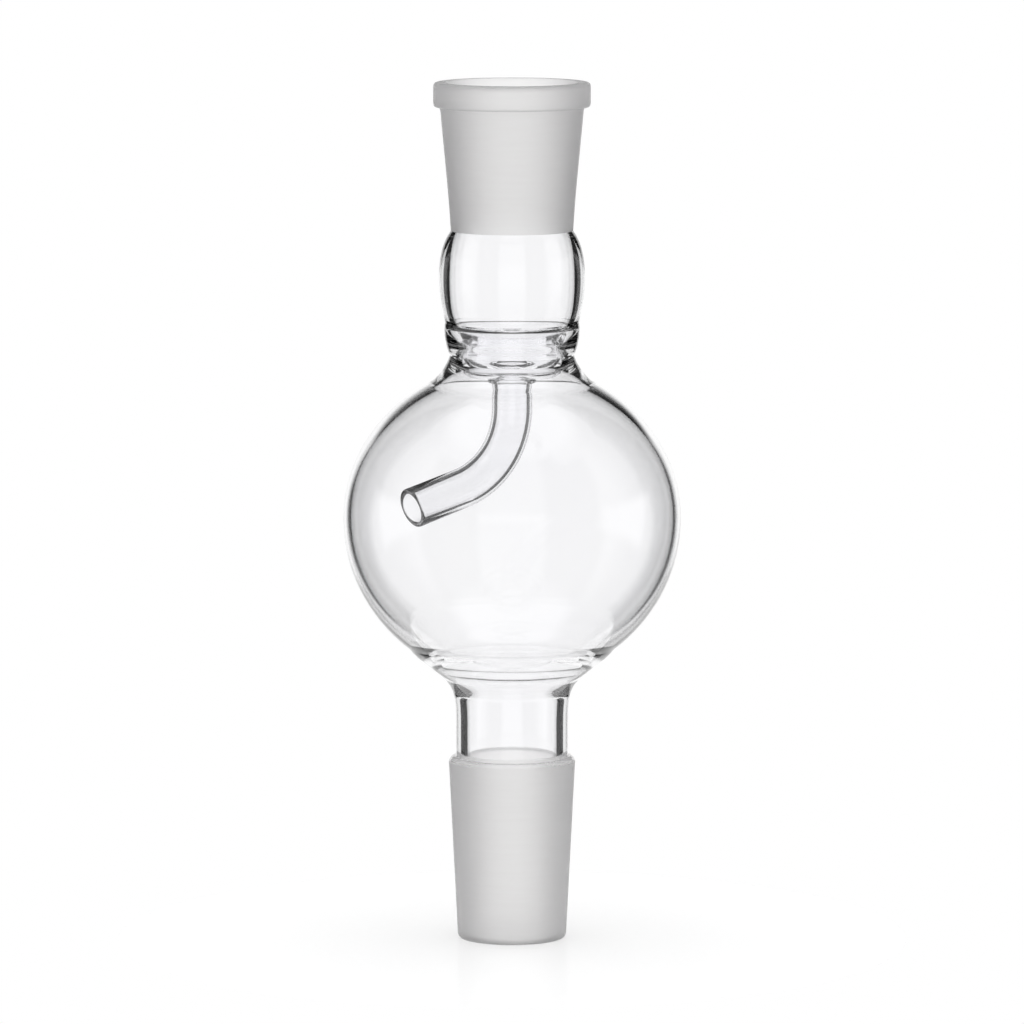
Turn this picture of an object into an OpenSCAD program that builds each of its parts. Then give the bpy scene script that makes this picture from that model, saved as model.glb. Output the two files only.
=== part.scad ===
// Bump trap with a bent vapour tube, in borosilicate glass.
// Every piece is turned about the Z axis except the vapour tube. The origin is
// the centre of the cone's end face, and +Z runs up the axis to the socket.
// Pieces meet face to face where the glassblower fused them.

/* [Ground joints] */
// Large end of both tapers, the nominal joint size
joint_d = 24.0; // [23.5:0.1:24.5]
// Diameter lost per millimetre of taper
taper = 0.10; // [0.09:0.01:0.11]
// Height of the ground zone on the cone
cone_ground_h = 33.4; // [28:0.2:33.8]
// Outside diameter of the socket's reinforced rim
rim_d = 29.7; // [29:0.1:32]
// Height of the socket's reinforced rim
rim_h = 4.7; // [3:0.1:6]
// Length of the socket from its rim to the clear barrel
socket_h = 28.0; // [26:0.5:29]

/* [Barrel neck] */
// Widest outside diameter of the barrel
barrel_d = 27.6; // [26.5:0.1:30]
// Bore of the barrel at its widest
barrel_bore = 23.7; // [22.5:0.1:24]
// Outside diameter of the ring seal's collar
collar_d = 25.6; // [25.4:0.1:26.4]
// Outside diameter of the waist above the bulb
waist_d = 23.5; // [23.3:0.1:24.0]

/* [Bulb] */
// Outside diameter of the bulb
bulb_d = 64.0; // [60:1:70]
// Wall of the bulb
bulb_wall = 1.4; // [1.2:0.1:1.8]
// Height of the bulb's widest ring above the cone's end
bulb_z = 80.5; // [80:0.5:81]

/* [Vapour tube] */
// Outside diameter of the vapour tube
tube_d = 7.6; // [7:0.1:8]
// Bore of the vapour tube
tube_bore = 5.6; // [5:0.1:6]
// Radius of the bend, on the centreline
bend_r = 15.5; // [12:0.5:18]
// Angle through which the tube bends
bend_angle = 73.5; // [60:0.5:90]
// Straight length from the bend to the open end
mouth_run = 11.7; // [6:0.1:14]
// Way that the open end faces, turned from -X towards -Y
mouth_turn = 33; // [0:1:360]
// Diameter of the drain hole in the inner seal
drain_d = 2.6; // [1.5:0.1:3]

/* [Stem] */
// Outside diameter of the stem
stem_d = 21.3; // [20.8:0.1:21.8]
// Bore of the stem
stem_bore = 17.0; // [16:0.1:17.6]

/* [Hidden] */
$fn = 96;

clear_glass = [0.80, 0.87, 0.90, 0.45];
ground_glass = [0.88, 0.89, 0.89, 0.95];

// Heights of the planes where one piece is fused to the next
total_h = 163.0;
socket_end_z = total_h - socket_h;
ring_z = 117.6;
waist_z = 111.4;
tube_seal_z = 106.8;
tube_top_z = 105.4;
bulb_end_z = 52.2;
stem_top_z = 46.4;
stem_end_z = 35.4;

// Radii on those planes, outside and in the bore
socket_r = 11.55;
ring_r = 12.65;
ring_fuse_r = 11.75;
ring_bore_r = 10.9;
waist_r = waist_d / 2;
waist_bore_r = waist_r - 1.8;
bulb_end_r = 15.85;
bulb_end_bore_r = 13.3;
stem_top_r = 11.0;
stem_top_bore_r = 8.8;
tube_r = tube_d / 2;
tube_bore_r = tube_bore / 2;
bead_r = tube_r + 0.3;

// Radius of the socket's and the cone's taper, a given drop below its large end
function taper_r(drop) = joint_d / 2 - drop * taper / 2;
socket_bore_r = taper_r(socket_h);

// A cubic curve through its first and last point, pulled by the two between
function curve(p, steps = 12) = [for (i = [0:steps]) let (t = i / steps, s = 1 - t)
    s*s*s * p[0] + 3*s*s*t * p[1] + 3*s*t*t * p[2] + t*t*t * p[3]];
// A point of an ellipse about (0, z)
function oval_point(rx, rz, z, angle) = [rx * cos(angle), z + rz * sin(angle)];
// An arc of that ellipse, from one angle to another
function oval(rx, rz, z, from, to, steps = 12) = [for (i = [0:steps])
    oval_point(rx, rz, z, from + (to - from) * i / steps)];

// Turns an outline of [radius, height] points about the axis
module turned(outline) {
    rotate_extrude($fn = 192) polygon(outline);
}

// Socket with its reinforced rim, ground inside to the standard taper
module socket_joint() {
    rim_r = rim_d / 2;
    rim_foot_z = total_h - rim_h;
    lip = 0.9;
    lip_pull = lip / 3;
    mouth_r = joint_d / 2 + 0.6;
    mouth_depth = 1.2;
    skirt_r = 13.7;
    skirt_drop = 0.7;
    color(ground_glass) turned(concat(
        [[mouth_r, total_h]],
        curve([[rim_r - lip, total_h], [rim_r - lip_pull, total_h],
               [rim_r, total_h - lip_pull], [rim_r, total_h - lip]], 8),
        curve([[rim_r, rim_foot_z + lip], [rim_r, rim_foot_z],
               [rim_r - lip / 2, rim_foot_z], [skirt_r, rim_foot_z]], 8),
        curve([[skirt_r - 0.2, rim_foot_z - skirt_drop], [12.9, 150.5], [12.0, 143],
               [socket_r, socket_end_z]], 16),
        [[socket_bore_r, socket_end_z], [taper_r(mouth_depth), total_h - mouth_depth]]));
}

// Clear barrel between the ground socket and the ring seal
module barrel_neck() {
    belly_z = 126.4;
    belly_r = barrel_d / 2;
    bore_r = barrel_bore / 2;
    color(clear_glass) turned(concat(
        curve([[socket_r, socket_end_z], [12.3, 133.9], [belly_r, 131.5], [belly_r, belly_z]], 16),
        curve([[belly_r, belly_z], [belly_r, 123.0], [13.1, 120.4], [ring_r, ring_z]]),
        curve([[ring_bore_r, ring_z], [11.5, 119.8], [bore_r, 122.8], [bore_r, belly_z]]),
        curve([[bore_r, belly_z], [bore_r, 131.0], [11.3, 133.2],
               [socket_bore_r, socket_end_z]], 16)));
}

// Cup that closes the barrel's lower end inside the collar, with its drain hole
module inner_seal() {
    cup_r = 9.7;
    cup_bore_r = 8.7;
    cup_z = 113.0;
    cup_bore_z = 113.4;
    lip_z = 116.5;
    floor_z = tube_seal_z + 1.1;
    floor_round = 0.6;
    drain_z = 114.3;
    drain_turn = -14;
    drain_drill = 5;
    color(clear_glass) difference() {
        turned(concat(
            [[ring_bore_r, ring_z], [ring_fuse_r, ring_z]],
            curve([[ring_fuse_r, lip_z], [11.2, 116.9], [cup_r, 115.8], [cup_r, cup_z]]),
            curve([[cup_r, cup_z], [cup_r, 108.2], [8.6, tube_seal_z], [bead_r, tube_seal_z]]),
            curve([[tube_bore_r, tube_seal_z], [tube_bore_r, tube_seal_z + floor_round],
                   [tube_bore_r + 0.1, floor_z], [tube_bore_r + floor_round, floor_z]], 6),
            curve([[tube_bore_r + 1, floor_z], [7.8, floor_z],
                   [cup_bore_r, 109.2], [cup_bore_r, cup_bore_z]]),
            curve([[cup_bore_r, cup_bore_z], [cup_bore_r, 115.6], [10.4, 116.2],
                   [ring_bore_r, ring_z]])));
        rotate([0, 0, drain_turn]) translate([cup_bore_r - drain_drill / 2, 0, drain_z])
            rotate([0, 90, 0]) cylinder(d = drain_d, h = drain_drill, $fn = 32);
    }
}

// Neck of the bulb, drawn up round the cup and fused to the barrel
module neck_collar() {
    collar_r = collar_d / 2;
    shoulder_z = 114.9;
    fuse_z = 116.5;
    color(clear_glass) turned(concat(
        [[ring_fuse_r, ring_z]],
        curve([[ring_r, ring_z], [collar_r, ring_z - 0.4], [collar_r, 116.0],
               [collar_r - 0.1, shoulder_z]], 8),
        curve([[collar_r - 0.1, shoulder_z], [12.5, 113.4], [12.15, 112.4], [waist_r, waist_z]], 8),
        curve([[waist_bore_r, waist_z], [10.2, 113.2], [ring_fuse_r, 114.2],
               [ring_fuse_r, fuse_z]])));
}

// Blown bulb, from the waist to the seam above the stem
module trap_bulb() {
    bulb_r = bulb_d / 2;
    bore_r = bulb_r - bulb_wall;
    upper_h = 29.4;
    lower_h = 31.4;
    upper_bore_h = upper_h - bulb_wall - 0.6;
    lower_bore_h = lower_h - bulb_wall - 0.8;
    top_turn = 62;
    end_turn = -52;
    band_z = 109.4;
    color(clear_glass) turned(concat(
        curve([[waist_r, waist_z], [12.2, 109.8], [13.3, 108.0],
               oval_point(bulb_r, upper_h, bulb_z, top_turn)], 8),
        oval(bulb_r, upper_h, bulb_z, top_turn, 0),
        oval(bulb_r, lower_h, bulb_z, 0, end_turn),
        curve([oval_point(bulb_r, lower_h, bulb_z, end_turn), [18.4, 54.2], [17.2, 53.2],
               [bulb_end_r, bulb_end_z]], 6),
        curve([[bulb_end_bore_r, bulb_end_z], [13.9, 53.6], [15.8, 55.0],
               oval_point(bore_r, lower_bore_h, bulb_z, end_turn)], 6),
        oval(bore_r, lower_bore_h, bulb_z, end_turn, 0),
        oval(bore_r, upper_bore_h, bulb_z, 0, top_turn),
        curve([oval_point(bore_r, upper_bore_h, bulb_z, top_turn), [12.9, 106.2], [11.5, 108.1],
               [waist_bore_r, band_z]], 8),
        [[waist_bore_r, waist_z]]));
}

// Rod along the vapour tube's centreline, its ends run out by extra
module tube_rod(d, extra = 0) {
    bend_z = 101.8;
    rotate([0, 0, mouth_turn]) translate([-bend_r, 0, bend_z]) rotate([-90, 0, 0]) {
        translate([bend_r, 0, 0]) rotate([90, 0, 0])
            cylinder(d = d, h = tube_top_z - bend_z + extra);
        rotate_extrude(angle = bend_angle) translate([bend_r, 0]) circle(d = d);
        rotate([0, 0, bend_angle]) translate([bend_r, 0, 0]) rotate([-90, 0, 0])
            cylinder(d = d, h = mouth_run + extra);
    }
}

// Bent tube that carries the vapour up through the inner seal
module vapour_tube() {
    color(clear_glass) difference() {
        tube_rod(tube_d);
        tube_rod(tube_bore, 1);
    }
}

// Bead of glass that fuses the vapour tube to the cup's floor
module tube_seal() {
    color(clear_glass) turned(concat(
        curve([[bead_r, tube_seal_z], [bead_r + 0.5, tube_seal_z - 0.3],
               [bead_r + 0.3, tube_top_z + 0.3], [tube_r, tube_top_z]], 8),
        [[tube_bore_r, tube_top_z], [tube_bore_r, tube_seal_z]]));
}

// Flared seam where the bulb was fused to the stem
module stem_seal() {
    color(clear_glass) turned(concat(
        curve([[bulb_end_r, bulb_end_z], [13.4, 50.4], [stem_top_r + 0.5, 48.9],
               [stem_top_r, stem_top_z]]),
        curve([[stem_top_bore_r, stem_top_z], [stem_top_bore_r + 0.3, 47.9],
               [10.3, 48.9], [bulb_end_bore_r, bulb_end_z]])));
}

// Clear stem between the bulb and the cone
module stem() {
    stem_r = stem_d / 2;
    bore_r = stem_bore / 2;
    straight_z = 41.0;
    color(clear_glass) turned(concat(
        curve([[stem_top_r, stem_top_z], [stem_r + 0.1, 45.2], [stem_r, 43.5],
               [stem_r, straight_z]]),
        [[stem_r, stem_end_z], [bore_r, stem_end_z]],
        curve([[bore_r, straight_z], [bore_r, 43.5], [bore_r + 0.1, 45.4],
               [stem_top_bore_r, stem_top_z]])));
}

// Cone, ground outside to the standard taper
module cone_joint() {
    large_r = joint_d / 2;
    stem_r = stem_d / 2;
    foot_h = 0.9;
    foot_r = taper_r(cone_ground_h);
    foot_bore_r = 8.3;
    shoulder_z = foot_h + cone_ground_h - 0.5;
    color(ground_glass) turned(concat(
        [[stem_r, stem_end_z]],
        curve([[stem_r + 0.1, stem_end_z - 0.5], [large_r - 0.5, stem_end_z - 0.5],
               [large_r - 0.1, stem_end_z - 0.9], [large_r, shoulder_z]], 8),
        curve([[foot_r, foot_h], [foot_r - 0.05, foot_h - 0.5],
               [foot_r - 0.3, 0], [foot_r - 0.7, 0]], 6),
        [[foot_bore_r + 0.7, 0], [foot_bore_r, foot_h], [stem_bore / 2, stem_end_z]]));
}

socket_joint();
barrel_neck();
inner_seal();
neck_collar();
trap_bulb();
vapour_tube();
tube_seal();
stem_seal();
stem();
cone_joint();
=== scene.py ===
import math

import bpy
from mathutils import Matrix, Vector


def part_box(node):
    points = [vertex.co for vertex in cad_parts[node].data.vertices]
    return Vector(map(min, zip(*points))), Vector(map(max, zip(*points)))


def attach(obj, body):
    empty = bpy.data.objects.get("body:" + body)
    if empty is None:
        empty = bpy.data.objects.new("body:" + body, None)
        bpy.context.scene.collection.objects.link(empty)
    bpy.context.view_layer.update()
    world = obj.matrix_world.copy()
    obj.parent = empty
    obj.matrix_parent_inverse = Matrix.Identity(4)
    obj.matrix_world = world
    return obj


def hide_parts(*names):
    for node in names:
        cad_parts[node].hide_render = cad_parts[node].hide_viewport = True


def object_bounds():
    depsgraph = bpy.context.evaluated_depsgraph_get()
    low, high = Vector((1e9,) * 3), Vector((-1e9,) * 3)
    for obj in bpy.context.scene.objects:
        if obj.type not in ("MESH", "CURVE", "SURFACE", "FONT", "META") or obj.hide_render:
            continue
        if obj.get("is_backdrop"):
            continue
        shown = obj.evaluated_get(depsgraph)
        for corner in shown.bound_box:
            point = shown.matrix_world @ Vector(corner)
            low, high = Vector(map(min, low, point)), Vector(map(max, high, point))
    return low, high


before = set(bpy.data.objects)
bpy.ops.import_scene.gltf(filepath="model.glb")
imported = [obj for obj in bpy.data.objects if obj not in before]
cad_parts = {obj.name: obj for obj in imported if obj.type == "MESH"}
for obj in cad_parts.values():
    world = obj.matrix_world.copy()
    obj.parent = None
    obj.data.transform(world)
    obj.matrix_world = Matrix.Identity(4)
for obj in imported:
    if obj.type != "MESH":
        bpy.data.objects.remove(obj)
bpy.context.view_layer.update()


# --- Ground socket ---------------------------------------------------------
# A borosilicate socket with a thick rolled rim. The glassblower flares the tube
# on a taper mandrel, and the bore and the rim are then ground matt with grit.
MM = 0.001
TURN_STEPS = 192
SAME_PLACE = 0.001 * MM
GLASS_IOR = 1.474
# Painted shade of the matt glass: its colour greys as its wall slants from square-on to edge-on
EDGE_SHADE_TONES = [(0.0, (0.965, 0.962, 0.96)), (0.12, (0.94, 0.935, 0.935)), (0.24, (0.89, 0.885, 0.885)),
               (0.36, (0.835, 0.83, 0.835)), (0.5, (0.80, 0.795, 0.80)), (1.0, (0.81, 0.805, 0.81))]
# The rings that the taper lap leaves round the glass, and the grit's own grain
RINGS_PER_M = 500
RING_STRETCH = (0.25, 0.25, 3)
GRAINS_PER_M = 5000
GRAIN_DEPTH = 0.04 * MM


def bare_material(name):
    """A node material with only its output left, and the tools to fill it."""
    material = bpy.data.materials.new(name)
    material.use_nodes = True
    nodes = material.node_tree.nodes
    nodes.clear()
    output = nodes.new("ShaderNodeOutputMaterial")
    return material, nodes, material.node_tree.links, output


def glass_shader(nodes, links, output):
    """The inputs of a borosilicate glass shader that is joined to the output."""
    shader = nodes.new("ShaderNodeBsdfPrincipled")
    shader.inputs["Transmission Weight"].default_value = 1.0
    shader.inputs["IOR"].default_value = GLASS_IOR
    links.new(shader.outputs["BSDF"], output.inputs["Surface"])
    return shader.inputs


def noise(nodes, links, scale, detail, stretch=(1, 1, 1)):
    """Noise on the piece's own coordinates, with scale in bumps per metre."""
    place = nodes.new("ShaderNodeTexCoord")
    turn = nodes.new("ShaderNodeMapping")
    turn.inputs["Scale"].default_value = stretch
    links.new(place.outputs["Object"], turn.inputs["Vector"])
    texture = nodes.new("ShaderNodeTexNoise")
    texture.inputs["Scale"].default_value = scale
    texture.inputs["Detail"].default_value = detail
    links.new(turn.outputs["Vector"], texture.inputs["Vector"])
    return texture.outputs["Fac"]


def ramp(nodes, links, value, stops):
    """A colour ramp with a place and a colour for each stop."""
    node = nodes.new("ShaderNodeValToRGB")
    elements = node.color_ramp.elements
    while len(elements) < len(stops):
        elements.new(0.5)
    for element, (place, colour) in zip(elements, stops):
        element.position = place
        element.color = (*colour, 1)
    links.new(value, node.inputs["Fac"])
    return node.outputs["Color"]


def bump(nodes, links, height, strength, depth):
    """The normal of a surface with this height pattern, its depth in metres."""
    node = nodes.new("ShaderNodeBump")
    node.inputs["Strength"].default_value = strength
    node.inputs["Distance"].default_value = depth
    links.new(height, node.inputs["Height"])
    return node.outputs["Normal"]


def ground_glass_material():
    """Matt glass: grit scratches scatter the light, and painted shade greys its slanting walls."""
    material, nodes, links, output = bare_material("ground_glass")
    glass = glass_shader(nodes, links, output)
    # Painted shade: Layer Weight facing darkens the base colour towards the outlines
    slant = nodes.new("ShaderNodeLayerWeight")
    slant.inputs["Blend"].default_value = 0.5
    painted_edge_shade = ramp(nodes, links, slant.outputs["Facing"], EDGE_SHADE_TONES)
    rings = noise(nodes, links, RINGS_PER_M, 3, RING_STRETCH)
    patches = ramp(nodes, links, rings, [(0.3, (0.965, 0.965, 0.965)), (0.7, (1, 1, 1))])
    # The painted edge shade is multiplied by the lap rings' own paler and darker patches
    tint = nodes.new("ShaderNodeMix")
    tint.data_type = "RGBA"
    tint.blend_type = "MULTIPLY"
    tint.inputs["Factor"].default_value = 1.0
    links.new(painted_edge_shade, tint.inputs["A"])
    links.new(patches, tint.inputs["B"])
    links.new(tint.outputs["Result"], glass["Base Color"])
    matt = nodes.new("ShaderNodeMapRange")
    matt.inputs["From Min"].default_value = 0.3
    matt.inputs["From Max"].default_value = 0.7
    matt.inputs["To Min"].default_value = 0.44
    matt.inputs["To Max"].default_value = 0.54
    links.new(rings, matt.inputs["Value"])
    links.new(matt.outputs["Result"], glass["Roughness"])
    grain = noise(nodes, links, GRAINS_PER_M, 2)
    links.new(bump(nodes, links, grain, 0.25, GRAIN_DEPTH), glass["Normal"])
    return material


def seam_material():
    """Where two pieces are fused the glass runs on, with no surface between them."""
    material, nodes, links, output = bare_material("fused_seam")
    shader = nodes.new("ShaderNodeBsdfTransparent")
    links.new(shader.outputs["BSDF"], output.inputs["Surface"])
    return material


GROUND = ground_glass_material()
SEAM = seam_material()


def heights(node):
    """The foot and the top of a CAD node, in millimetres."""
    low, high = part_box(node)
    return low[2] / MM, high[2] / MM


def width_radius(node):
    """Half the width of a CAD node, in millimetres."""
    low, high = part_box(node)
    return (high[0] - low[0]) / 2 / MM


def place_mm(point):
    """The place in the scene of a (radius, height) point of an outline."""
    return (point[0] * MM, 0, point[1] * MM)


def turned(name, runs, steps=12):
    """Draw a closed outline on the axis and spin it into a piece of turned glass.

    Each run starts where the one before it ends, and the first starts at the end of
    the last. One point makes it straight, and three make it a curve: the two that
    pull it, and its end.
    """
    bpy.ops.object.select_all(action="DESELECT")
    bpy.ops.curve.primitive_bezier_curve_add()
    outline = bpy.context.object
    spline = outline.data.splines[0]
    spline.bezier_points.add(len(runs) - len(spline.bezier_points))
    spline.use_cyclic_u = True
    spline.resolution_u = steps
    for knot in spline.bezier_points:
        knot.handle_left_type = knot.handle_right_type = "FREE"
    for index, run in enumerate(runs):
        start, end = runs[index - 1][-1], run[-1]
        if len(run) == 1:
            third = [(e - s) / 3 for s, e in zip(start, end)]
            leave = [s + t for s, t in zip(start, third)]
            reach = [e - t for e, t in zip(end, third)]
        else:
            leave, reach = run[0], run[1]
        here = spline.bezier_points[index]
        there = spline.bezier_points[(index + 1) % len(runs)]
        here.co = place_mm(start)
        here.handle_right = place_mm(leave)
        there.handle_left = place_mm(reach)
    bpy.ops.object.convert(target="MESH")
    piece = bpy.context.object
    piece.name = piece.data.name = name
    bpy.ops.object.mode_set(mode="EDIT")
    bpy.ops.mesh.select_all(action="SELECT")
    bpy.ops.mesh.remove_doubles(threshold=SAME_PLACE)
    bpy.ops.mesh.spin(steps=TURN_STEPS, angle=math.tau, center=(0, 0, 0), axis=(0, 0, 1))
    bpy.ops.mesh.select_all(action="SELECT")
    bpy.ops.mesh.remove_doubles(threshold=SAME_PLACE)
    bpy.ops.mesh.normals_make_consistent(inside=False)
    bpy.ops.object.mode_set(mode="OBJECT")
    return piece


def fuse_seams(piece, finish, levels, ring=None):
    """Give the piece its finish, and leave no surface where it is fused to its neighbours.

    The levels are the heights of its flat seams. The ring is the radius, the foot and
    the top of an upright one.
    """
    piece.data.materials.clear()
    piece.data.materials.append(finish)
    piece.data.materials.append(SEAM)
    for face in piece.data.polygons:
        centre = face.center / MM
        level = any(abs(centre.z - z) < 0.005 for z in levels) and abs(face.normal.z) > 0.99
        radius = math.hypot(centre.x, centre.y)
        wall = ring is not None and abs(radius - ring[0]) < 0.01 and ring[1] < centre.z < ring[2]
        face.material_index = 1 if level or wall else 0


def finish_piece(piece, node):
    """Smooth the piece, fix it to the glass body and hide the CAD node that it takes the place of."""
    bpy.ops.object.select_all(action="DESELECT")
    piece.select_set(True)
    bpy.context.view_layer.objects.active = piece
    bpy.ops.object.shade_smooth_by_angle(angle=math.radians(35))
    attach(piece, "root")
    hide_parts(node)


JOINT_R = 12.0
TAPER = 0.05
SOCKET_R = 11.55
RIM_H = 4.7
LIP = 0.9
LIP_PULL = LIP / 3
MOUTH_DEPTH = 1.2
SKIRT_R = 13.7
socket_low, socket_top = heights("socket_joint")
rim_r = width_radius("socket_joint")
rim_low = socket_top - RIM_H
mouth_r = JOINT_R + 0.6
socket_bore = JOINT_R - (socket_top - socket_low) * TAPER
socket = turned("ground_socket", [
    [(rim_r - LIP, socket_top)],
    [(rim_r - LIP_PULL, socket_top), (rim_r, socket_top - LIP_PULL), (rim_r, socket_top - LIP)],
    [(rim_r, rim_low + LIP)],
    [(rim_r, rim_low), (rim_r - LIP / 2, rim_low), (SKIRT_R, rim_low)],
    [(SKIRT_R - 0.2, rim_low - 0.7)],
    [(12.9, 150.5), (12.0, 143), (SOCKET_R, socket_low)],
    [(socket_bore, socket_low)],
    [(JOINT_R - MOUTH_DEPTH * TAPER, socket_top - MOUTH_DEPTH)],
    [(mouth_r, socket_top)],
])
fuse_seams(socket, GROUND, [socket_low])
finish_piece(socket, "socket_joint")


# --- Clear barrel ----------------------------------------------------------
# The socket's own tube, blown out a little in the flame to a barrel and left
# fire-polished. It is the same glass as the socket, with no grinding.
WAVES_PER_M = 45
WAVE_STRETCH = (1, 1, 0.6)
WAVE_DEPTH = 0.1 * MM


def clear_glass_material():
    """Fire-polished glass, with the slight waves that blowing leaves in its walls."""
    material, nodes, links, output = bare_material("clear_glass")
    glass = glass_shader(nodes, links, output)
    glass["Roughness"].default_value = 0.0
    waves = noise(nodes, links, WAVES_PER_M, 2, WAVE_STRETCH)
    tint = ramp(nodes, links, waves, [(0.3, (0.98, 0.98, 0.99)), (0.7, (0.995, 0.995, 1))])
    links.new(tint, glass["Base Color"])
    links.new(bump(nodes, links, waves, 0.5, WAVE_DEPTH), glass["Normal"])
    return material


CLEAR = clear_glass_material()
BELLY_Z = 126.4
BARREL_BORE = 11.85
RING_R = 12.65
RING_BORE = 10.9
ring_z, barrel_top = heights("barrel_neck")
belly_r = width_radius("barrel_neck")
barrel = turned("clear_barrel", [
    [(12.3, 133.9), (belly_r, 131.5), (belly_r, BELLY_Z)],
    [(belly_r, 123.0), (13.1, 120.4), (RING_R, ring_z)],
    [(RING_BORE, ring_z)],
    [(11.5, 119.8), (BARREL_BORE, 122.8), (BARREL_BORE, BELLY_Z)],
    [(BARREL_BORE, 131.0), (11.3, 133.2), (socket_bore, barrel_top)],
    [(SOCKET_R, barrel_top)],
], steps=20)
fuse_seams(barrel, CLEAR, [ring_z, barrel_top])
finish_piece(barrel, "barrel_neck")


# --- Cup of the inner seal -------------------------------------------------
# The barrel's lower end, closed round like a test tube inside the bulb's neck.
# A hot wire opened the drain hole in its side and left a raised rim round it,
# and the vapour tube joins its floor.
FUSE_R = 11.75
FUSE_LOW = 116.5
CUP_R = 9.7
CUP_BORE = 8.7
CUP_FLOOR = 1.1
TUBE_R = 3.8
TUBE_BORE = 2.8
DRAIN_R = 1.3
DRAIN_Z = 114.3
DRAIN_TURN = math.radians(-14)
DRAIN_DRILL = 5
RIM_THICK_R = 0.45
cup_low, cup_top = heights("inner_seal")
floor_top = cup_low + CUP_FLOOR
cup = turned("inner_seal_cup", [
    [(FUSE_R, cup_top)],
    [(FUSE_R, FUSE_LOW)],
    [(11.2, 116.9), (CUP_R, 115.8), (CUP_R, 113.0)],
    [(CUP_R, 108.2), (8.6, cup_low), (TUBE_R + 0.3, cup_low)],
    [(TUBE_BORE, cup_low)],
    [(TUBE_BORE, cup_low + CUP_FLOOR / 2), (TUBE_BORE + 0.1, floor_top), (TUBE_BORE + 0.6, floor_top)],
    [(TUBE_BORE + 1, floor_top)],
    [(7.8, floor_top), (CUP_BORE, 109.2), (CUP_BORE, 113.4)],
    [(CUP_BORE, 115.6), (10.4, 116.2), (RING_BORE, cup_top)],
])


def drain_place(radius):
    """A place on the drain hole's line, this far out from the cup's axis."""
    return (radius * math.cos(DRAIN_TURN) * MM, radius * math.sin(DRAIN_TURN) * MM, DRAIN_Z * MM)


def work_cup(operation):
    """Join the tool that was just added to the cup, or cut the cup with it."""
    tool = bpy.context.object
    bpy.context.view_layer.objects.active = cup
    work = cup.modifiers.new("drain", "BOOLEAN")
    work.operation = operation
    work.solver = "EXACT"
    work.object = tool
    bpy.ops.object.modifier_apply(modifier=work.name)
    bpy.data.objects.remove(tool)


SIDEWAYS = (0, math.radians(90), DRAIN_TURN)
bpy.ops.object.select_all(action="DESELECT")
bpy.ops.mesh.primitive_torus_add(
    major_radius=(DRAIN_R + 0.3) * MM, minor_radius=RIM_THICK_R * MM,
    major_segments=48, minor_segments=20, location=drain_place(CUP_R + 0.05), rotation=SIDEWAYS)
work_cup("UNION")
bpy.ops.object.select_all(action="DESELECT")
bpy.ops.mesh.primitive_cylinder_add(
    vertices=48, radius=DRAIN_R * MM, depth=DRAIN_DRILL * MM,
    location=drain_place(CUP_BORE + 0.5), rotation=SIDEWAYS)
work_cup("DIFFERENCE")
fuse_seams(cup, CLEAR, [cup_low, cup_top], ring=(FUSE_R, FUSE_LOW, cup_top))
finish_piece(cup, "inner_seal")


# --- Neck of the bulb ------------------------------------------------------
# The bulb's neck, drawn up round the cup and ring-sealed to the barrel's foot.
# In the flame it was drawn in to a thick waist that leaves a narrow gap for the drain.
COLLAR_R = 12.8
WAIST_R = 11.75
WAIST_BORE = 9.95
waist_z, collar_top = heights("neck_collar")
collar = turned("bulb_neck", [
    [(RING_R, collar_top)],
    [(COLLAR_R, collar_top - 0.4), (COLLAR_R, 116.0), (COLLAR_R - 0.1, 114.9)],
    [(12.5, 113.4), (12.15, 112.4), (WAIST_R, waist_z)],
    [(WAIST_BORE, waist_z)],
    [(10.2, 113.2), (FUSE_R, 114.2), (FUSE_R, FUSE_LOW)],
    [(FUSE_R, collar_top)],
], steps=16)
fuse_seams(collar, CLEAR, [waist_z, collar_top], ring=(FUSE_R, FUSE_LOW, collar_top))
finish_piece(collar, "neck_collar")


# --- Bulb ------------------------------------------------------------------
# The trap bulb, blown from tube, thin at its widest and thicker towards both necks.
# It is clear and fire-polished all over.
BULB_Z = 80.5
BULB_WALL = 1.4
UPPER_H = 29.4
LOWER_H = 31.4
UPPER_BORE_H = 27.4
LOWER_BORE_H = 29.2
TOP_TURN = 62
END_TURN = -52
BAND_Z = 109.4
SEAM_R = 15.85
SEAM_BORE = 13.3


def oval_point(rx, rz, turn):
    """A point of an oval about the bulb's middle, at a turn in degrees."""
    turn = math.radians(turn)
    return (rx * math.cos(turn), BULB_Z + rz * math.sin(turn))


def oval_run(rx, rz, start, end):
    """The curved run that follows the oval from one turn to another."""
    pull = 4 / 3 * math.tan(math.radians(end - start) / 4)
    first, last = oval_point(rx, rz, start), oval_point(rx, rz, end)
    start, end = math.radians(start), math.radians(end)
    leave = (first[0] - pull * rx * math.sin(start), first[1] + pull * rz * math.cos(start))
    reach = (last[0] + pull * rx * math.sin(end), last[1] - pull * rz * math.cos(end))
    return [leave, reach, last]


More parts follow.
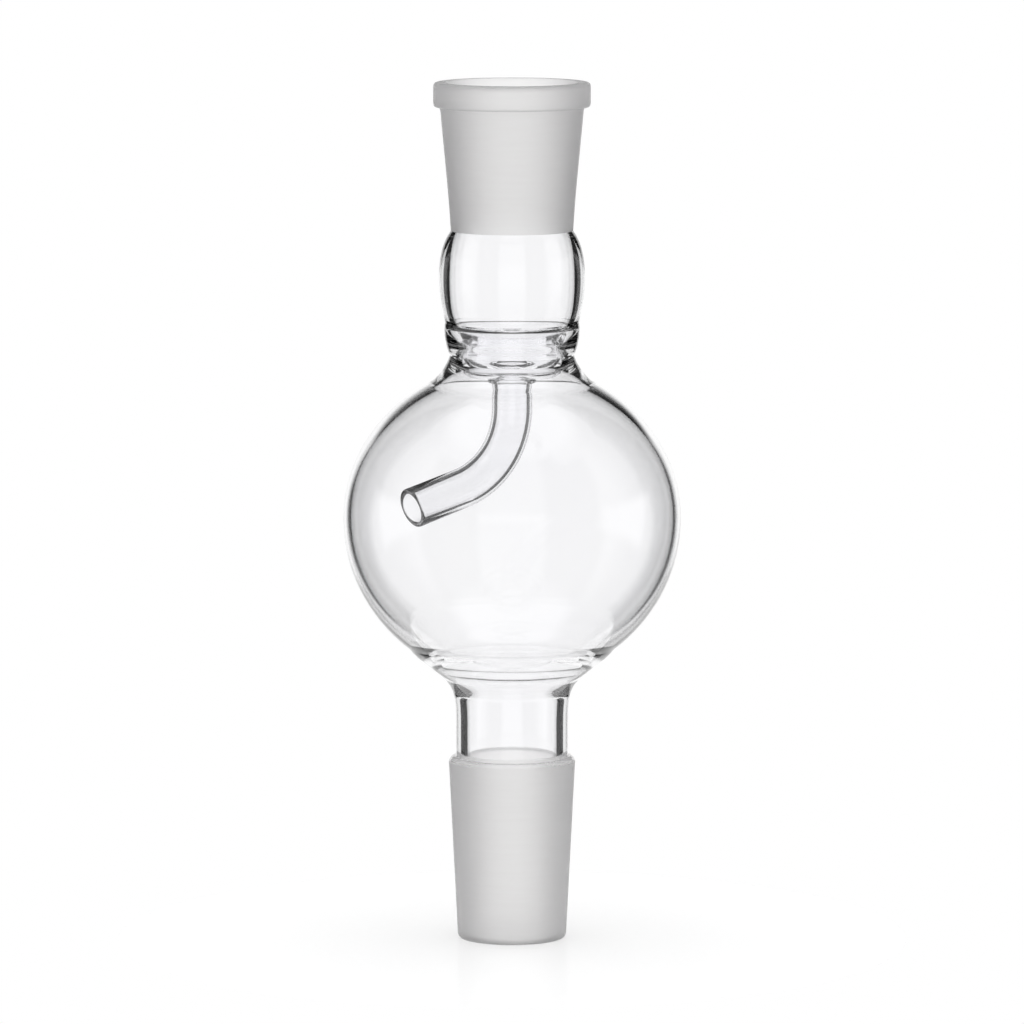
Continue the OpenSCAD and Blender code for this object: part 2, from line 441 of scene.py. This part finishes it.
seam_z, bulb_top = heights("trap_bulb")
bulb_r = width_radius("trap_bulb")
bore_r = bulb_r - BULB_WALL
bulb = turned("trap_bulb_glass", [
    [(12.2, 109.8), (13.3, 108.0), oval_point(bulb_r, UPPER_H, TOP_TURN)],
    oval_run(bulb_r, UPPER_H, TOP_TURN, 0),
    oval_run(bulb_r, LOWER_H, 0, END_TURN),
    [(18.4, 54.2), (17.2, 53.2), (SEAM_R, seam_z)],
    [(SEAM_BORE, seam_z)],
    [(13.9, 53.6), (15.8, 55.0), oval_point(bore_r, LOWER_BORE_H, END_TURN)],
    oval_run(bore_r, LOWER_BORE_H, END_TURN, 0),
    oval_run(bore_r, UPPER_BORE_H, 0, TOP_TURN),
    [(12.9, 106.2), (11.5, 108.1), (WAIST_BORE, BAND_Z)],
    [(WAIST_BORE, bulb_top)],
    [(WAIST_R, bulb_top)],
], steps=32)
fuse_seams(bulb, CLEAR, [seam_z, bulb_top])
finish_piece(bulb, "trap_bulb")


# --- Weld of the vapour tube -----------------------------------------------
# A bead of glass round the tube's top, worked in the flame so that tube and
# cup floor run into each other.
tube_top, bead_top = heights("tube_seal")
bead_r = width_radius("tube_seal")
bead = turned("tube_weld", [
    [(bead_r + 0.5, 106.5), (bead_r + 0.3, 105.7), (TUBE_R, tube_top)],
    [(TUBE_BORE, tube_top)],
    [(TUBE_BORE, bead_top)],
    [(bead_r, bead_top)],
])
fuse_seams(bead, CLEAR, [tube_top, bead_top])
finish_piece(bead, "tube_seal")


# --- Vapour tube -----------------------------------------------------------
# Stock glass tubing, bent in the flame so that its mouth looks to one side and
# a splash can't run straight up it. The mouth is fire-polished.
TUBE_WALL = TUBE_R - TUBE_BORE
BEND_Z = 101.8
BEND_R = 15.5
BEND = math.radians(73.5)
MOUTH_RUN = 11.7
MOUTH_TURN = math.radians(33)
MOUTH_ROUND = 0.42 * TUBE_WALL
out = (-math.cos(MOUTH_TURN), -math.sin(MOUTH_TURN), 0)
bend_axis = (-out[1], out[0], 0)
bend_centre = (out[0] * BEND_R * MM, out[1] * BEND_R * MM, BEND_Z * MM)
heading = (out[0] * math.sin(BEND), out[1] * math.sin(BEND), -math.cos(BEND))
to_mouth = tuple(part * MOUTH_RUN * MM for part in heading)
bpy.ops.object.select_all(action="DESELECT")
bpy.ops.mesh.primitive_circle_add(
    vertices=64, radius=TUBE_R * MM, fill_type="NGON", location=(0, 0, tube_top * MM))
tube = bpy.context.object
tube.name = tube.data.name = "bent_vapour_tube"
bpy.ops.object.transform_apply(location=True, rotation=True, scale=True)
bpy.ops.object.mode_set(mode="EDIT")
bpy.ops.mesh.select_mode(type="FACE")
bpy.ops.mesh.select_all(action="SELECT")
bpy.ops.mesh.inset(thickness=TUBE_WALL * MM, depth=0)
bpy.ops.mesh.delete(type="FACE")
bpy.ops.mesh.select_all(action="SELECT")
bpy.ops.mesh.extrude_region_move(TRANSFORM_OT_translate={"value": (0, 0, (BEND_Z - tube_top) * MM)})
bpy.ops.mesh.spin(steps=64, angle=BEND, center=bend_centre, axis=bend_axis)
bpy.ops.mesh.extrude_region_move(TRANSFORM_OT_translate={"value": to_mouth})
bpy.ops.mesh.select_all(action="SELECT")
bpy.ops.mesh.remove_doubles(threshold=SAME_PLACE)
bpy.ops.mesh.normals_make_consistent(inside=False)
bpy.ops.mesh.select_all(action="DESELECT")
bpy.ops.object.mode_set(mode="OBJECT")
for face in tube.data.polygons:
    if sum(n * h for n, h in zip(face.normal, heading)) > 0.99:
        face.select = True
        for corner in face.vertices:
            tube.data.vertices[corner].select = True
bpy.ops.object.mode_set(mode="EDIT")
bpy.ops.mesh.select_mode(type="FACE")
bpy.ops.mesh.region_to_loop()
bpy.ops.mesh.bevel(offset=MOUTH_ROUND * MM, segments=5, profile=0.5)
bpy.ops.object.mode_set(mode="OBJECT")
fuse_seams(tube, CLEAR, [tube_top])
finish_piece(tube, "vapour_tube")


# --- Seam under the bulb ---------------------------------------------------
# The flared top of the stem, welded to the bulb's open foot. The weld leaves
# a slight ring in the wall, inside and out.
STEM_TOP_R = 11.0
STEM_TOP_BORE = 8.8
stem_top, flare_top = heights("stem_seal")
flare = turned("bulb_stem_seam", [
    [(13.4, 50.4), (STEM_TOP_R + 0.5, 48.9), (STEM_TOP_R, stem_top)],
    [(STEM_TOP_BORE, stem_top)],
    [(STEM_TOP_BORE + 0.3, 47.9), (10.3, 48.9), (SEAM_BORE, flare_top)],
    [(SEAM_R, flare_top)],
], steps=20)
fuse_seams(flare, CLEAR, [stem_top, flare_top])
finish_piece(flare, "stem_seal")


# --- Stem ------------------------------------------------------------------
# Thick-walled clear tube between the bulb and the cone. It is the cone's own
# tube, opened a little where it meets the flare.
STEM_R = 10.65
STEM_BORE = 8.5
STRAIGHT_Z = 41.0
stem_low, stem_high = heights("stem")
stem = turned("clear_stem", [
    [(STEM_R + 0.1, 45.2), (STEM_R, 43.5), (STEM_R, STRAIGHT_Z)],
    [(STEM_R, stem_low)],
    [(STEM_BORE, stem_low)],
    [(STEM_BORE, STRAIGHT_Z)],
    [(STEM_BORE, 43.5), (STEM_BORE + 0.1, 45.4), (STEM_TOP_BORE, stem_high)],
    [(STEM_TOP_R, stem_high)],
], steps=16)
fuse_seams(stem, CLEAR, [stem_low, stem_high])
finish_piece(stem, "stem")


# --- Ground cone -----------------------------------------------------------
# The cone, flared out from the stem and ground outside on a taper lap. Grit
# leaves it matt and pale grey below its clear shoulder, the grey deepened towards its outlines by painted
# shade, and its foot is rounded off.
CONE_GROUND = 33.4
FOOT_H = 0.9
FOOT_BORE = 8.3
cone_low, cone_top = heights("cone_joint")
shoulder = FOOT_H + CONE_GROUND - 0.5
foot_r = JOINT_R - CONE_GROUND * TAPER
cone = turned("ground_cone", [
    [(STEM_R + 0.1, cone_top - 0.5)],
    [(JOINT_R - 0.5, cone_top - 0.5), (JOINT_R - 0.1, cone_top - 0.9), (JOINT_R, shoulder)],
    [(foot_r, FOOT_H)],
    [(foot_r - 0.05, 0.4), (foot_r - 0.3, cone_low), (foot_r - 0.7, cone_low)],
    [(FOOT_BORE + 0.7, cone_low)],
    [(FOOT_BORE, FOOT_H)],
    [(STEM_BORE, cone_top)],
    [(STEM_R, cone_top)],
])
fuse_seams(cone, GROUND, [cone_top])
cone.data.materials.append(CLEAR)
for face in cone.data.polygons:
    if face.material_index == 0 and face.center.z > (shoulder + 0.25) * MM:
        face.material_index = 2
finish_piece(cone, "cone_joint")


# --- Floor -----------------------------------------------------------------
# A small round table top of white acrylic, lit from below, with a faint sheen.
# The glass stands in its middle on the foot of its cone.
FLOOR_R = 75
SPECKS_PER_M = 900
bpy.ops.object.select_all(action="DESELECT")
bpy.ops.mesh.primitive_circle_add(vertices=128, radius=FLOOR_R * MM, fill_type="NGON", location=(0, 0, 0))
floor = bpy.context.object
floor.name = "floor"
acrylic, nodes, links, output = bare_material("floor_white")
shader = nodes.new("ShaderNodeBsdfPrincipled")
shader.inputs["Specular IOR Level"].default_value = 0.25
shader.inputs["Roughness"].default_value = 0.25
shader.inputs["Emission Color"].default_value = (1, 1, 1, 1)
shader.inputs["Emission Strength"].default_value = 0.25
whites = ramp(nodes, links, noise(nodes, links, SPECKS_PER_M, 3),
              [(0.3, (0.925, 0.925, 0.925)), (0.7, (0.94, 0.94, 0.94))])
links.new(whites, shader.inputs["Base Color"])
links.new(shader.outputs["BSDF"], output.inputs["Surface"])
floor.data.materials.append(acrylic)
floor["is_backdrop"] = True


# --- Studio light ----------------------------------------------------------
# Four white panels stand round the glass, with dark gaps between their edges
# that draw its outlines. A dark ceiling hangs over them, with a white top light
# in its middle.
PANEL_HALF = math.radians(20)
GAP_FULL = math.radians(27)
# How much of the dark each kind of ray sees: thrown back by a wall of glass,
# passed straight through clear glass, and scattered by matt glass
MIRROR_SHUT = 0.98
FILL_SHUT = 0.03
MATT_SHUT = 0.45
# How strong the gaps are on the camera's side
FRONT_GAPS = 0.5
# How much light is lost by the rays that many bounces trap in a wall
TRAPPED_SHUT = 0.8

scene = bpy.context.scene
world = bpy.data.worlds.new("studio")
scene.world = world
world.use_nodes = True
light_nodes = world.node_tree.nodes
light_links = world.node_tree.links
light_nodes.clear()


def maths(operation, first, second=None):
    """One Math node of the studio light, fed by sockets or plain numbers."""
    node = light_nodes.new("ShaderNodeMath")
    node.operation = operation
    for slot, value in zip(node.inputs, (first, second)):
        if value is None:
            continue
        if isinstance(value, (int, float)):
            slot.default_value = value
        else:
            light_links.new(value, slot)
    return node.outputs[0]


def fade(value, start, end, low=0.0, high=1.0):
    """A soft step from low to high as the value goes from start to end."""
    node = light_nodes.new("ShaderNodeMapRange")
    node.interpolation_type = "SMOOTHSTEP"
    for name, number in zip(("From Min", "From Max", "To Min", "To Max"), (start, end, low, high)):
        node.inputs[name].default_value = number
    light_links.new(value, node.inputs["Value"])
    return node.outputs["Result"]


way = light_nodes.new("ShaderNodeTexCoord")
split = light_nodes.new("ShaderNodeSeparateXYZ")
light_links.new(way.outputs["Generated"], split.inputs[0])
x_size = maths("ABSOLUTE", split.outputs["X"])
y_size = maths("ABSOLUTE", split.outputs["Y"])
level_part = maths("SQRT", maths("ADD", maths("MULTIPLY", x_size, x_size), maths("MULTIPLY", y_size, y_size)))
panel_cosine = maths("DIVIDE", maths("MAXIMUM", x_size, y_size), maths("MAXIMUM", level_part, 0.001))
gaps = fade(panel_cosine, math.cos(GAP_FULL), math.cos(PANEL_HALF), 1.0, 0.0)
behind = fade(split.outputs["Y"], -0.2, 0.2, FRONT_GAPS, 1.0)
ceiling = fade(split.outputs["Z"], 0.12, 0.26)
beside_top_light = fade(split.outputs["Z"], 0.80, 0.92, 1.0, 0.0)
dark = maths("MULTIPLY", maths("MULTIPLY", maths("MAXIMUM", gaps, ceiling), behind), beside_top_light)

rays = light_nodes.new("ShaderNodeLightPath")
mirrored = maths("MINIMUM", rays.outputs["Glossy Depth"], 1)
clear_ray = maths("ADD", maths("MULTIPLY", mirrored, MIRROR_SHUT - FILL_SHUT), FILL_SHUT)
scattered = maths("SUBTRACT", 1, rays.outputs["Is Singular Ray"])
matt_ray = maths("MULTIPLY", scattered, rays.outputs["Is Transmission Ray"])
glass_ray = maths("ADD", maths("MULTIPLY", matt_ray, MATT_SHUT),
                  maths("MULTIPLY", maths("SUBTRACT", 1, matt_ray), clear_ray))
from_floor = maths("MINIMUM", rays.outputs["Diffuse Depth"], 1)
bare_ray = maths("MAXIMUM", from_floor, rays.outputs["Is Camera Ray"])
seen = maths("MULTIPLY", glass_ray, maths("SUBTRACT", 1, bare_ray))
trapped = fade(rays.outputs["Glossy Depth"], 4.5, 7.0, 1.0, 1.0 - TRAPPED_SHUT)
brightness = maths("MULTIPLY", maths("SUBTRACT", 1, maths("MULTIPLY", dark, seen)), trapped)
light = light_nodes.new("ShaderNodeBackground")
light.inputs["Color"].default_value = (1, 1, 1, 1)
light_links.new(brightness, light.inputs["Strength"])
output = light_nodes.new("ShaderNodeOutputWorld")
light_links.new(light.outputs[0], output.inputs["Surface"])


# --- Camera ----------------------------------------------------------------
# A long lens a little above the glass, looking down on it by a few degrees.
# Light needs many bounces to find its way out of the glass walls.
DISTANCE = 1.45
TILT = math.radians(6.8)
LENS = 269
low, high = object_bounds()
aim = (low[2] + high[2]) / 2
bpy.ops.object.camera_add(
    location=(0, -DISTANCE * math.cos(TILT), aim + DISTANCE * math.sin(TILT)),
    rotation=(math.pi / 2 - TILT, 0, 0))
camera = bpy.context.object
camera.data.lens = LENS
camera.data.clip_end = 50
scene.camera = camera
scene.view_settings.view_transform = "Standard"
scene.cycles.max_bounces = 32
scene.cycles.transmission_bounces = 32
scene.cycles.transparent_max_bounces = 32
scene.cycles.glossy_bounces = 16
